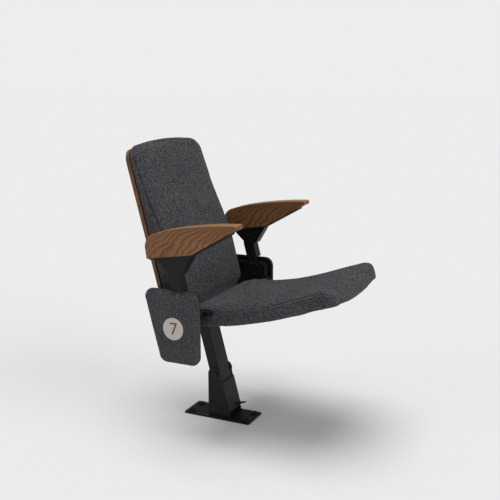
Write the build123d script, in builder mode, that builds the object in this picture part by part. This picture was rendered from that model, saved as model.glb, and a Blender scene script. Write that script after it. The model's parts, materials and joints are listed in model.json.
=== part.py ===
"""One place of a fixed lecture-hall row: tip-up seat, high back, two armrests, one raked leg.

Frame: millimetres, +Z up, the chair faces -Y, X runs across it. The sitter's right is -X.
Origin: centre of the base plate's underside, on the floor.
"""
from build123d import *
from math import cos, radians, sin
import os

os.makedirs("parts", exist_ok=True)

# ---------------------------------------------------------------- driving dimensions
LEAN = 15.0  # rake of leg, beam, arm columns and back, degrees from upright
PIVOT_Y = 10.0  # foot pivot, the origin of the leaned frame
PIVOT_Z = 163.0

PLATE_LENGTH = 260.0
PLATE_WIDTH = 112.0
PLATE_THICK = 6.0
ANCHOR_X = 36.0
ANCHOR_Y = 108.0
ANCHOR_HOLE_R = 6.0

LEG_WIDTH = 80.0
LEG_DEPTH = 40.0
LEG_WALL = 3.0
LEG_FOOT_Z = -148.0  # leg tube's ends along the lean
LEG_HEAD_Z = 200.0
CHEEK_THICK = 5.0
CHEEK_GAP = 0.5
PIVOT_BOLT_R = 6.0
RUNNING_GAP = 0.08

BEAM_SIZE = 40.0
BEAM_HALF = 250.0
HEAD_PLATE_THICK = 6.0

SIDE_IN = 255.0  # inner face of each side standard
SIDE_RIM = 281.0  # standard's rim meets the liner plate here
SIDE_MID = 284.0  # liner plate meets the upholstered panel here
SIDE_OUT = 300.0  # outer face of the upholstered panel
BADGE_R = 37.5

SEAT_PIVOT_Y = -40.0
SEAT_PIVOT_Z = 440.0
SEAT_PIN_R = 8.0
SEAT_HALF = 237.0

BACK_HALF = 237.0
BACK_FOOT_Z = 262.0  # lower and upper ends of the back along the lean
BACK_TOP_Z = 835.0
BACK_RISE = 18.0  # arch of the top edge
SHELL_THICK = 12.0
SHELL_EDGE_Y = 1.0  # shell's front face at its side edges
SHELL_SAG = 17.0  # how far the shell's middle lies behind its edges
CUSHION_HALF = 227.0

ARM_IN = 255.0
ARM_OUT = 305.0
STRAP_THICK = 4.0
COLUMN_IN = 262.0
COLUMN_OUT = 300.0
COLUMN_FRONT = -117.0  # column's faces in the leaned frame
COLUMN_REAR = -77.0

SIDES = {"right": -1, "left": 1}

# ---------------------------------------------------------------- frames and helpers
SIN = sin(radians(LEAN))
COS = cos(radians(LEAN))


def leaned(x, y, z):
    """World point of (y, z) given in the leaned frame of the foot pivot."""
    return (x, PIVOT_Y + y * COS + z * SIN, PIVOT_Z - y * SIN + z * COS)


def side_plane(x):
    """Sketch plane across the chair at x: local axes are world Y and Z."""
    return Plane(origin=(x, 0, 0), x_dir=(0, 1, 0), z_dir=(1, 0, 0))


def leaned_side(x):
    """Sketch plane across the chair at x: local axes are the leaned Y and Z."""
    return Plane(origin=leaned(x, 0, 0), x_dir=(0, COS, -SIN), z_dir=(1, 0, 0))


def leaned_plan(z):
    """Sketch plane square to the lean at height z along it: local axes are X and leaned Y."""
    return Plane(origin=leaned(0, 0, z), x_dir=(1, 0, 0), z_dir=(0, SIN, COS))


def leaned_front(y):
    """Sketch plane facing forward at leaned depth y: local axes are X and leaned Z."""
    return Plane(origin=leaned(0, y, 0), x_dir=(1, 0, 0), z_dir=(0, -COS, SIN))


def write(part, name):
    part.label = name
    export_step(part, f"parts/{name}.step")


def slab(side, inner, outer):
    """Start and signed length of an X extrusion from inner to outer on one side."""
    return side * inner, side * (outer - inner)


# ---------------------------------------------------------------- foot
with BuildPart() as base_plate:
    with BuildSketch(Plane.XY):
        RectangleRounded(PLATE_WIDTH, PLATE_LENGTH, 6)
        with GridLocations(2 * ANCHOR_X, 2 * ANCHOR_Y, 2, 2):
            Circle(ANCHOR_HOLE_R, mode=Mode.SUBTRACT)
    extrude(amount=PLATE_THICK)
    chamfer(base_plate.faces().sort_by(Axis.Z)[-1].outer_wire().edges(), 1)
write(base_plate.part, "base_plate")

COLLAR_R = 13.0
COLLAR_HEIGHT = 4.0
with BuildPart() as anchor_washers:
    with BuildSketch(Plane.XY.offset(PLATE_THICK)):
        with GridLocations(2 * ANCHOR_X, 2 * ANCHOR_Y, 2, 2):
            Circle(COLLAR_R)
            Circle(ANCHOR_HOLE_R + 0.5, mode=Mode.SUBTRACT)
    extrude(amount=COLLAR_HEIGHT)
write(anchor_washers.part, "anchor_washers")

CHEEK_IN = LEG_WIDTH / 2 + CHEEK_GAP
CHEEK_OUT = CHEEK_IN + CHEEK_THICK
CHEEK_LUG_R = 25.0
CHEEK_FRONT = -LEG_DEPTH / 2 - 1.0  # leaned depth of the cheeks' front edges
CHEEK_REAR = PIVOT_Y + CHEEK_LUG_R


def front_edge(z):
    """World (y, z) of the cheeks' slanted front edge at world height z."""
    along = (z - PIVOT_Z + CHEEK_FRONT * SIN) / COS
    point = leaned(0, CHEEK_FRONT, along)
    return (point[1], point[2])


for name, side in SIDES.items():
    start, length = slab(side, CHEEK_IN, CHEEK_OUT)
    with BuildPart() as cheek:
        with BuildSketch(side_plane(start)):
            with Locations((PIVOT_Y, PIVOT_Z)):
                Circle(CHEEK_LUG_R)
            with BuildLine():
                Polyline(
                    (CHEEK_REAR, PLATE_THICK),
                    (CHEEK_REAR, PIVOT_Z),
                    (PIVOT_Y, PIVOT_Z),
                    front_edge(PIVOT_Z - 8),
                    front_edge(PLATE_THICK),
                    close=True,
                )
            make_face()
            with BuildLine():
                Polyline((12, 26), (28, 26), (20, 46), close=True)
            make_face(mode=Mode.SUBTRACT)
            with Locations((PIVOT_Y, PIVOT_Z)):
                Circle(PIVOT_BOLT_R + 0.1, mode=Mode.SUBTRACT)
        extrude(amount=length)
    write(cheek.part, f"foot_cheek_{name}")

COVER_THICK = 3.0
COVER_FRONT = CHEEK_FRONT - COVER_THICK
COVER_LOW = -130.0
COVER_HIGH = -34.0
COVER_SCREW_Z = -106.0
COVER_SCREW_R = 2.5
EAR_LENGTH = 26.0
EAR_DROP = 9.0
with BuildPart() as foot_front_cover:
    with BuildSketch(leaned_front(CHEEK_FRONT)):
        with Locations((0, (COVER_LOW + COVER_HIGH) / 2)):
            Rectangle(2 * CHEEK_OUT, COVER_HIGH - COVER_LOW)
        with Locations((0, COVER_SCREW_Z)):
            Circle(COVER_SCREW_R + 0.1, mode=Mode.SUBTRACT)
    extrude(amount=COVER_THICK)
    # small ear hanging from the cover's lower left corner and bent forward
    with BuildSketch(leaned_front(CHEEK_FRONT)):
        with Locations(((14 + CHEEK_OUT) / 2, COVER_LOW - EAR_DROP / 2)):
            Rectangle(CHEEK_OUT - 14, EAR_DROP)
    extrude(amount=COVER_THICK)
    with BuildSketch(leaned_plan(COVER_LOW - EAR_DROP)):
        with BuildLine():
            Polyline(
                (14, COVER_FRONT + 1),
                (CHEEK_OUT, COVER_FRONT + 1),
                (CHEEK_OUT - 4, COVER_FRONT - EAR_LENGTH),
                (CHEEK_OUT - 12, COVER_FRONT - EAR_LENGTH),
                close=True,
            )
        make_face()
    extrude(amount=3)
write(foot_front_cover.part, "foot_front_cover")

with BuildPart() as cover_screw:
    with BuildSketch(leaned_front(CHEEK_FRONT)):
        with Locations((0, COVER_SCREW_Z)):
            Circle(COVER_SCREW_R)
    extrude(amount=COVER_THICK)
    with BuildSketch(leaned_front(COVER_FRONT)):
        with Locations((0, COVER_SCREW_Z)):
            Circle(COVER_SCREW_R * 2)
    extrude(amount=2.5, taper=20)
write(cover_screw.part, "cover_screw")

BOLT_HEAD_R = 9.0
BOLT_HEAD_THICK = 6.0
NUT_THICK = 8.0
with BuildPart() as pivot_bolt:
    with BuildSketch(side_plane(-CHEEK_OUT)):
        with Locations((PIVOT_Y, PIVOT_Z)):
            Circle(PIVOT_BOLT_R)
    extrude(amount=2 * CHEEK_OUT + NUT_THICK + 2)
    with BuildSketch(side_plane(-CHEEK_OUT)):
        with Locations((PIVOT_Y, PIVOT_Z)):
            Circle(BOLT_HEAD_R)
    extrude(amount=-BOLT_HEAD_THICK)
    head_face = pivot_bolt.faces().sort_by(Axis.X)[0]
    chamfer(head_face.edges(), 1.5)
    with BuildSketch(side_plane(-CHEEK_OUT - BOLT_HEAD_THICK)):
        with Locations((PIVOT_Y, PIVOT_Z)):
            RegularPolygon(4, 6)
    extrude(amount=3.5, mode=Mode.SUBTRACT)
write(pivot_bolt.part, "pivot_bolt")

with BuildPart() as pivot_nut:
    with BuildSketch(side_plane(CHEEK_OUT)):
        with Locations((PIVOT_Y, PIVOT_Z)):
            RegularPolygon(10.5, 6)
            Circle(PIVOT_BOLT_R + 0.05, mode=Mode.SUBTRACT)
    extrude(amount=NUT_THICK)
write(pivot_nut.part, "pivot_nut")

# ---------------------------------------------------------------- leg and beam
BUSH_R = 10.0
with BuildPart() as leg_tube:
    with BuildSketch(leaned_plan(LEG_FOOT_Z)):
        RectangleRounded(LEG_WIDTH, LEG_DEPTH, 4)
        RectangleRounded(LEG_WIDTH - 2 * LEG_WALL, LEG_DEPTH - 2 * LEG_WALL, 1.5, mode=Mode.SUBTRACT)
    extrude(amount=LEG_HEAD_Z - LEG_FOOT_Z)
    with BuildSketch(leaned_side(-LEG_WIDTH)):
        Circle(BUSH_R + 0.05)
    extrude(amount=2 * LEG_WIDTH, mode=Mode.SUBTRACT)
write(leg_tube.part, "leg_tube")

with BuildPart() as leg_pivot_bush:
    with BuildSketch(leaned_side(-LEG_WIDTH / 2)):
        Circle(BUSH_R)
        Circle(PIVOT_BOLT_R + RUNNING_GAP, mode=Mode.SUBTRACT)
    extrude(amount=LEG_WIDTH)
write(leg_pivot_bush.part, "leg_pivot_bush")

HEAD_PLATE_WIDTH = 130.0
HEAD_PLATE_DEPTH = 56.0
HEAD_BOLT_X = 52.0
HEAD_BOLT_Y = 11.0
HEAD_BOLT_R = 4.0
BEAM_FOOT_Z = LEG_HEAD_Z + HEAD_PLATE_THICK
BEAM_MID_Z = BEAM_FOOT_Z + BEAM_SIZE / 2
BEAM_WALL = 3.0
with BuildPart() as leg_head_plate:
    with BuildSketch(leaned_plan(LEG_HEAD_Z)):
        RectangleRounded(HEAD_PLATE_WIDTH, HEAD_PLATE_DEPTH, 8)
        with GridLocations(2 * HEAD_BOLT_X, 2 * HEAD_BOLT_Y, 2, 2):
            Circle(HEAD_BOLT_R + 0.2, mode=Mode.SUBTRACT)
    extrude(amount=HEAD_PLATE_THICK)
write(leg_head_plate.part, "leg_head_plate")

with BuildPart() as cross_beam:
    with BuildSketch(leaned_side(-BEAM_HALF)):
        with Locations((0, BEAM_MID_Z)):
            RectangleRounded(BEAM_SIZE, BEAM_SIZE, 4)
            RectangleRounded(BEAM_SIZE - 2 * BEAM_WALL, BEAM_SIZE - 2 * BEAM_WALL, 1.5, mode=Mode.SUBTRACT)
    extrude(amount=2 * BEAM_HALF)
    with BuildSketch(leaned_plan(BEAM_FOOT_Z - 1)):
        with GridLocations(2 * HEAD_BOLT_X, 2 * HEAD_BOLT_Y, 2, 2):
            Circle(HEAD_BOLT_R + 0.2)
    extrude(amount=BEAM_WALL + 2, mode=Mode.SUBTRACT)
write(cross_beam.part, "cross_beam")

with BuildPart() as head_bolts:
    with BuildSketch(leaned_plan(LEG_HEAD_Z)):
        with GridLocations(2 * HEAD_BOLT_X, 2 * HEAD_BOLT_Y, 2, 2):
            Circle(HEAD_BOLT_R)
    extrude(amount=HEAD_PLATE_THICK + BEAM_WALL + 4)
    with BuildSketch(leaned_plan(LEG_HEAD_Z)):
        with GridLocations(2 * HEAD_BOLT_X, 2 * HEAD_BOLT_Y, 2, 2):
            RegularPolygon(7, 6)
    extrude(amount=-5)
write(head_bolts.part, "head_bolts")

END_FRONT = -45.0  # leaned depth and height of the beam's end plates
END_REAR = 25.0
END_LOW = BEAM_MID_Z - 34.0
END_HIGH = BEAM_MID_Z + 34.0
END_BOLT_R = 4.0
end_middle = ((END_FRONT + END_REAR) / 2, BEAM_MID_Z)
end_bolt_points = [
    (end_middle[0] + dy, end_middle[1] + dz) for dy in (-26, 26) for dz in (-28, 28)
]
with BuildPart() as beam_end_plates:
    for side in SIDES.values():
        start, length = slab(side, BEAM_HALF, SIDE_IN)
        with BuildSketch(leaned_side(start)):
            with Locations(end_middle):
                RectangleRounded(END_REAR - END_FRONT, END_HIGH - END_LOW, 8)
            with Locations(*end_bolt_points):
                Circle(END_BOLT_R + 0.2, mode=Mode.SUBTRACT)
        extrude(amount=length)
write(beam_end_plates.part, "beam_end_plates")

# ---------------------------------------------------------------- side standards and panels
PANEL_OUTLINE = [(145, 531), (-70, 531), (-70, 280), (78, 280)]
STANDARD_OUTLINE = [(135, 512), (-50, 512), (-50, 300), (78, 300)]
LINER_INSET = 4.0
BOSS_R = 24.0  # the standard swells about the seat's pivot
STANDARD_WALL = 3.0
TANG_IN = SIDE_IN + STANDARD_WALL
TANG_OUT = TANG_IN + 12.0
TANG_LOW = 270.0  # leaned height of the lower end of the column's tang
COLUMN_FOOT_Z = 512.5  # world height where the column stands on the standard
COLUMN_STEP_Z = 531.5  # and where its outer part clears the panel
column_mid = (COLUMN_FRONT + COLUMN_REAR) / 2
tang_screw_points = [(column_mid + 8, 330), (column_mid - 10, 322), (column_mid + 4, 290)]
TANG_SCREW_R = 4.0


def side_face(outline, inset, radius, boss=0.0):
    """Rounded outline of a side, inset evenly, with an optional boss about the seat's pivot."""
    with BuildSketch(Plane.XY) as face:
        with BuildLine():
            Polyline(*outline, close=True)
        make_face()
        if inset:
            offset(amount=-inset, kind=Kind.INTERSECTION)
        fillet(face.vertices(), radius)
        if boss:
            with Locations((SEAT_PIVOT_Y, SEAT_PIVOT_Z)):
                Circle(boss)
    return face.sketch


panel_face = side_face(PANEL_OUTLINE, 0, 33)
liner_face = side_face(PANEL_OUTLINE, LINER_INSET, 29)
standard_face = side_face(STANDARD_OUTLINE, 0, 22, BOSS_R)
cavity_face = side_face(STANDARD_OUTLINE, STANDARD_WALL, 19, BOSS_R - STANDARD_WALL)
bracket_bolt_points = [(-14, 305), (-14, 340), (8, 322)]
for name, side in SIDES.items():
    start, length = slab(side, SIDE_IN, SIDE_RIM)
    cavity_start, cavity_length = slab(side, SIDE_IN + STANDARD_WALL, SIDE_RIM)
    with BuildPart() as standard:
        with BuildSketch(side_plane(start)):
            add(standard_face)
        extrude(amount=length)
        with BuildSketch(side_plane(cavity_start)):
            add(cavity_face)
        extrude(amount=cavity_length, mode=Mode.SUBTRACT)
        # slot in the top rim that lets the column's tang in
        with BuildSketch(leaned_side(cavity_start)):
            with Locations((column_mid, (TANG_LOW + 380) / 2)):
                Rectangle(COLUMN_REAR - COLUMN_FRONT - 8, 380 - TANG_LOW)
        extrude(amount=cavity_length, mode=Mode.SUBTRACT)
        with BuildSketch(side_plane(start)):
            with Locations((SEAT_PIVOT_Y, SEAT_PIVOT_Z)):
                Circle(12.05)
        extrude(amount=side * STANDARD_WALL, mode=Mode.SUBTRACT)
        with BuildSketch(leaned_side(start)):
            with Locations(*end_bolt_points):
                Circle(END_BOLT_R + 0.2)
            with Locations(*bracket_bolt_points, *tang_screw_points):
                Circle(TANG_SCREW_R + 0.2)
        extrude(amount=side * STANDARD_WALL, mode=Mode.SUBTRACT)
    write(standard.part, f"side_standard_{name}")

    start, length = slab(side, SIDE_RIM, SIDE_MID)
    with BuildPart() as liner:
        with BuildSketch(side_plane(start)):
            add(liner_face)
        extrude(amount=length)
    write(liner.part, f"side_liner_{name}")

    start, length = slab(side, SIDE_MID, SIDE_OUT)
    with BuildPart() as panel:
        with BuildSketch(side_plane(start)):
            add(panel_face)
        extrude(amount=length)
        outer = panel.faces().sort_by(Axis.X)[-1 if side > 0 else 0]
        fillet(outer.edges(), 5)
    write(panel.part, f"side_panel_{name}")

with BuildPart() as row_badge:
    with BuildSketch(side_plane(-SIDE_OUT)):
        with Locations((24, 402)):
            Circle(BADGE_R)
    extrude(amount=-3)
    fillet(row_badge.faces().sort_by(Axis.X)[0].edges(), 1)
write(row_badge.part, "row_badge")

# ---------------------------------------------------------------- arms
# carrier, strap and wood share this underside: flat at the rear, slanting up to the nose
ARM_REAR = (117, 626)
ARM_KNEE = (-48, 653)
ARM_NOSE = (-197, 740)
ARM_SKIN = [(84, 712), (0, 734), (-90, 748), (-194, 757)]
arm_slope = (ARM_KNEE[1] - ARM_REAR[1]) / (ARM_REAR[0] - ARM_KNEE[0])
nose_slope = (ARM_NOSE[1] - ARM_KNEE[1]) / (ARM_KNEE[0] - ARM_NOSE[0])


def underside(y, drop=0.0):
    """Point of the armrest's underside at y, lowered by drop."""
    if y > ARM_KNEE[0]:
        return (y, ARM_KNEE[1] - (y - ARM_KNEE[0]) * arm_slope - drop)
    return (y, ARM_KNEE[1] + (ARM_KNEE[0] - y) * nose_slope - drop)


STRAP_REAR = 108.0
STRAP_FRONT = -178.0
CARRIER_TOP = (84.0, -46.0)
CARRIER_FOOT = ((39, 586), (-9, 586))
CARRIER_WALL = 3.0
ARM_BOLT = (24, 612)
for name, side in SIDES.items():
    start, length = slab(side, ARM_IN, ARM_OUT)
    with BuildPart() as armrest:
        with BuildSketch(side_plane(start)):
            with BuildLine():
                Polyline(ARM_NOSE, ARM_KNEE, ARM_REAR, (122, 664))
                ThreePointArc((122, 664), (113, 694), ARM_SKIN[0])
                Spline(*ARM_SKIN, tangents=[(-0.94, 0.34), (-1, 0.04)])
                ThreePointArc(ARM_SKIN[-1], (-206, 750), ARM_NOSE)
            make_face()
        extrude(amount=length)
        fillet(armrest.faces().filter_by(Axis.X).edges(), 2)
    write(armrest.part, f"armrest_{name}")

    start, length = slab(side, ARM_IN + 2, ARM_OUT - 2)
    with BuildPart() as strap:
        with BuildSketch(side_plane(start)):
            with BuildLine():
                Polyline(
                    underside(STRAP_REAR),
                    ARM_KNEE,
                    underside(STRAP_FRONT),
                    underside(STRAP_FRONT, STRAP_THICK + 1),
                    underside(ARM_KNEE[0], STRAP_THICK),
                    underside(STRAP_REAR, STRAP_THICK),
                    close=True,
                )
            make_face()
        extrude(amount=length)
    write(strap.part, f"arm_strap_{name}")

    start, length = slab(side, COLUMN_IN, COLUMN_OUT)
    inner_start, inner_length = slab(side, COLUMN_IN + CARRIER_WALL, COLUMN_OUT - CARRIER_WALL)
    with BuildPart() as carrier:
        with BuildSketch(side_plane(start)):
            with BuildLine():
                Polyline(
                    underside(CARRIER_TOP[0], STRAP_THICK),
                    underside(CARRIER_TOP[1], STRAP_THICK),
                    CARRIER_FOOT[1],
                    CARRIER_FOOT[0],
                    close=True,
                )
            make_face()
        extrude(amount=length)
        with BuildSketch(side_plane(inner_start)):
            with BuildLine():
                Polyline(
                    underside(CARRIER_TOP[0] - 5),
                    underside(CARRIER_TOP[1] + 5),
                    (CARRIER_FOOT[1][0] + 4, CARRIER_FOOT[1][1] + CARRIER_WALL),
                    (CARRIER_FOOT[0][0] - 4, CARRIER_FOOT[0][1] + CARRIER_WALL),
                    close=True,
                )
            make_face()
        extrude(amount=inner_length, mode=Mode.SUBTRACT)
        with BuildSketch(side_plane(start)):
            with Locations(ARM_BOLT):
                Circle(4.2)
        extrude(amount=side * CARRIER_WALL, mode=Mode.SUBTRACT)
    write(carrier.part, f"arm_carrier_{name}")

    # leaning tube from the panel's top edge to the carrier, with a flat tang below it
    tang_start, tang_length = slab(side, TANG_IN, TANG_OUT)
    with BuildPart() as column:
        with BuildSketch(leaned_side(start)):
            with BuildLine():
                Polyline(
                    (COLUMN_REAR, 350),
                    (COLUMN_REAR, 440),
                    (COLUMN_FRONT, 440),
                    (COLUMN_FRONT, 350),
                    close=True,
                )
            make_face()
        extrude(amount=length)
        with BuildSketch(leaned_plan(300)):
            with Locations((side * (COLUMN_IN + COLUMN_OUT) / 2, column_mid)):
                Rectangle(COLUMN_OUT - COLUMN_IN - 6, COLUMN_REAR - COLUMN_FRONT - 6)
        extrude(amount=200, mode=Mode.SUBTRACT)
        with BuildSketch(side_plane(start)):
            with Locations((0, (COLUMN_FOOT_Z + CARRIER_FOOT[0][1]) / 2)):
                Rectangle(240, CARRIER_FOOT[0][1] - COLUMN_FOOT_Z)
        extrude(amount=length, mode=Mode.INTERSECT)
        step_start, step_length = slab(side, SIDE_RIM, COLUMN_OUT)
        with BuildSketch(side_plane(step_start)):
            with Locations((0, COLUMN_STEP_Z - 20)):
                Rectangle(240, 40)
        extrude(amount=step_length, mode=Mode.SUBTRACT)
        with BuildSketch(leaned_side(tang_start)):
            with BuildLine():
                Polyline(
                    (COLUMN_REAR - 5, TANG_LOW),
                    (COLUMN_REAR - 5, 372),
                    (COLUMN_FRONT + 5, 372),
                    (COLUMN_FRONT + 5, TANG_LOW),
                    close=True,
                )
            make_face()
            with Locations(*tang_screw_points):
                Circle(TANG_SCREW_R + 0.2, mode=Mode.SUBTRACT)
        extrude(amount=tang_length)
    write(column.part, f"arm_column_{name}")


def button_screws(plane_at, face_in, grip, points, radius, head_ratio, rise):
    """Dome-headed screws through an inner face on both sides, heads towards the sitter."""
    with BuildPart() as screws:
        for side in SIDES.values():
            with BuildSketch(plane_at(side * face_in)):
                with Locations(*points):
                    Circle(radius)
            extrude(amount=side * grip)
            with BuildSketch(plane_at(side * face_in)):
                with Locations(*points):
                    Circle(radius * head_ratio)
            extrude(amount=-side * rise, taper=25)
    return screws.part


arm_bolts = button_screws(side_plane, COLUMN_IN, CARRIER_WALL + 5, [ARM_BOLT], 4.0, 1.6, 3.5)
write(arm_bolts, "arm_bolts")

tang_grip = STANDARD_WALL + 8
tang_screws = button_screws(
    leaned_side, SIDE_IN, tang_grip, tang_screw_points, TANG_SCREW_R, 1.6, 2.5
)
end_grip = STANDARD_WALL + 9
end_bolts = button_screws(
    leaned_side, BEAM_HALF, end_grip, end_bolt_points, END_BOLT_R, 1.7, 4
)
with BuildPart() as standard_screws:
    add(tang_screws)
    add(end_bolts)
write(standard_screws.part, "standard_screws")

# ---------------------------------------------------------------- back
back_arc_r = (BACK_HALF**2 + SHELL_SAG**2) / (2 * SHELL_SAG)
back_arc_y = SHELL_EDGE_Y + SHELL_SAG - back_arc_r


def back_outline(half, low, high, rise, corner):
    """Front view of the back: square foot, rounded shoulders, gently arched top edge."""
    with BuildSketch(Plane.XY) as face:
        with BuildLine():
            Polyline((-half, high), (-half, low), (half, low), (half, high))
            ThreePointArc((half, high), (0, high + rise), (-half, high))
        make_face()
        fillet(face.vertices().sort_by(Axis.Y)[-2:], corner)
    return face.sketch


shell_outline = back_outline(BACK_HALF, BACK_FOOT_Z, BACK_TOP_Z - 6, BACK_RISE - 2, 46)
cushion_outline = back_outline(CUSHION_HALF, BACK_FOOT_Z, BACK_TOP_Z - 3, BACK_RISE, 38)

with BuildPart() as back_shell:
    with BuildSketch(leaned_plan(BACK_FOOT_Z - 10)):
        with Locations((0, back_arc_y)):
            Circle(back_arc_r + SHELL_THICK)
            Circle(back_arc_r, mode=Mode.SUBTRACT)
        with Locations((0, SHELL_SAG)):
            Rectangle(2 * BACK_HALF, 120, mode=Mode.INTERSECT)
    extrude(amount=BACK_TOP_Z - BACK_FOOT_Z + 60)
    with BuildSketch(leaned_front(80)):
        add(shell_outline)
    extrude(amount=160, mode=Mode.INTERSECT)
write(back_shell.part, "back_shell")

# cushion's front face in the leaned frame, lumbar swell low down, thinning towards the top
LUMBAR_LOW = [(-46, 268), (-58, 286), (-65, 340), (-67, 420), (-66, 470)]
LUMBAR = [*LUMBAR_LOW, (-54, 563), (-37, 665), (-31, 740), (-26, 800)]
BLANK_TOP = BACK_TOP_Z + 60.0  # cushion blank before its outline is cut
BLANK_REAR = 40.0
BLANK_HALF = CUSHION_HALF + 20.0
with BuildPart() as back_cushion:
    with BuildSketch(leaned_side(-BLANK_HALF)):
        with BuildLine():
            Spline(*LUMBAR)
            Polyline(
                LUMBAR[-1],
                (-23, BLANK_TOP),
                (BLANK_REAR, BLANK_TOP),
                (BLANK_REAR, BACK_FOOT_Z),
                (-44, BACK_FOOT_Z),
                LUMBAR[0],
            )
        make_face()
    extrude(amount=2 * BLANK_HALF)
    with BuildSketch(leaned_front(80)):
        add(cushion_outline)
    extrude(amount=200, mode=Mode.INTERSECT)
    with BuildSketch(leaned_plan(BACK_FOOT_Z - 10)):
        with Locations((0, back_arc_y + 200)):
            Rectangle(2 * BACK_HALF + 40, 2 * back_arc_r + 400)
        with Locations((0, back_arc_y)):
            Circle(back_arc_r - 0.3, mode=Mode.SUBTRACT)
    extrude(amount=700, mode=Mode.SUBTRACT)
write(back_cushion.part, "back_cushion")

BRACKET_LOW = 290.0
BRACKET_HIGH = 352.0
BRACKET_BACK = 26.0
BRACKET_THICK = 4.0
back_screw_points = [(208, 305), (208, 338)]
for name, side in SIDES.items():
    with BuildPart() as bracket:
        with BuildSketch(leaned_plan(BRACKET_LOW)):
            with BuildLine():
                Polyline(
                    (side * 190, BRACKET_BACK - BRACKET_THICK),
                    (side * (SIDE_IN - BRACKET_THICK), BRACKET_BACK - BRACKET_THICK),
                    (side * (SIDE_IN - BRACKET_THICK), -28),
                    (side * SIDE_IN, -28),
                    (side * SIDE_IN, BRACKET_BACK),
                    (side * 190, BRACKET_BACK),
                    close=True,
                )
            make_face()
        extrude(amount=BRACKET_HIGH - BRACKET_LOW)
        with BuildSketch(leaned_side(side * (SIDE_IN - BRACKET_THICK))):
            with Locations(*bracket_bolt_points):
                Circle(TANG_SCREW_R + 0.2)
        extrude(amount=side * BRACKET_THICK, mode=Mode.SUBTRACT)
        with BuildSketch(leaned_front(BRACKET_BACK)):
            with Locations(*[(side * x, z) for x, z in back_screw_points]):
                Circle(3.2)
        extrude(amount=BRACKET_THICK, mode=Mode.SUBTRACT)
    write(bracket.part, f"back_bracket_{name}")

bracket_grip = BRACKET_THICK + STANDARD_WALL + 5
bracket_bolts = button_screws(
    leaned_side, SIDE_IN - BRACKET_THICK, bracket_grip, bracket_bolt_points, TANG_SCREW_R, 1.6, 2.5
)
with BuildPart() as back_screws:
    for side in SIDES.values():
        points = [(side * x, z) for x, z in back_screw_points]
        with BuildSketch(leaned_front(BRACKET_BACK)):
            with Locations(*points):
                Circle(3)
        extrude(amount=BRACKET_THICK + 3)
        with BuildSketch(leaned_front(BRACKET_BACK)):
            with Locations(*points):
                Circle(6)
        extrude(amount=-3, taper=25)
    add(bracket_bolts)
write(back_screws.part, "back_screws")

# ---------------------------------------------------------------- seat
SEAT_TOP_REAR = [(20, 455), (-52, 461), (-110, 464), (-165, 474), (-244, 493)]
SEAT_TOP = [*SEAT_TOP_REAR, (-320, 516), (-395, 545), (-441, 562)]
SEAT_UNDER = [(-51, 397), (-108, 407), (-186, 424), (-290, 452), (-391, 485), (-480, 500)]
SEAT_FRONT = -502.0
SEAT_CORNER_R = 56.0
PAN_THICK = 10.0
PAN_INSET = 42.0
PAN_FRONT = -420.0
PAN_REAR = -30.0
ARM_PLATE_IN = 238.5
ARM_PLATE_OUT = 250.0
SLOT_FRONT = -88.0
SLOT_LOW = 444.0
SLOT_HIGH = 457.0
SLOT_IN = 200.0
SPRING_WIRE = 3.0
SPRING_PITCH = 2.6
SPRING_R = 11.5
SPRING_IN = 264.0  # distance of the first turn from the chair's middle

with BuildSketch(Plane.XY) as plan:
    with BuildLine():
        Polyline(
            (-SEAT_HALF, 30), (-SEAT_HALF, SEAT_FRONT), (SEAT_HALF, SEAT_FRONT), (SEAT_HALF, 30), close=True
        )
    make_face()
    fillet(plan.vertices().sort_by(Axis.Y)[:2], SEAT_CORNER_R)
seat_plan = plan.sketch

with BuildPart() as seat_pan:
    with BuildSketch(side_plane(-SEAT_HALF + PAN_INSET)):
        with BuildLine():
            lower = Spline(*SEAT_UNDER)
            upper = Spline(*[(y, z + PAN_THICK) for y, z in SEAT_UNDER])
            Line(lower @ 0, upper @ 0)
            Line(lower @ 1, upper @ 1)
        make_face()
    extrude(amount=2 * (SEAT_HALF - PAN_INSET))
    with BuildSketch(Plane.XY.offset(300)):
        with Locations((0, (PAN_FRONT + PAN_REAR) / 2)):
            RectangleRounded(2 * (SEAT_HALF - PAN_INSET), PAN_REAR - PAN_FRONT, 58)
    extrude(amount=400, mode=Mode.INTERSECT)
write(seat_pan.part, "seat_pan")

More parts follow.
